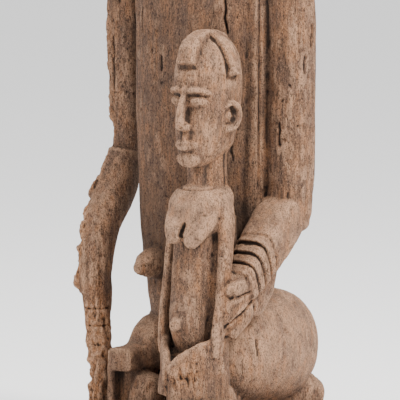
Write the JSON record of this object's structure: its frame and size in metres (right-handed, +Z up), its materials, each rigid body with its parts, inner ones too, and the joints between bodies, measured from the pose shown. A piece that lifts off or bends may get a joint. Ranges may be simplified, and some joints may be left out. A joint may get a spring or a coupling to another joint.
{
  "type": "carved wooden mother and child sculpture",
  "caption": "Weathered carved wood figure group: a tall kneeling mother on a low base, one hand steadying a small child figure in front of her knee.",
  "frame": {"origin": "the middle of the flat underside, under the mother's own axis", "axes": "+Z up, the figures face -Y, the mother's left hand is towards +X"},
  "size_m": [0.3095, 0.3499, 0.9996],
  "materials": {
    "weathered_wood": "dry, cracked and worn, with pale worn tops and dark hollows"
  },
  "bodies": {
    "root": {"mother_and_child": "weathered_wood"}
  },
  "joints": []
}
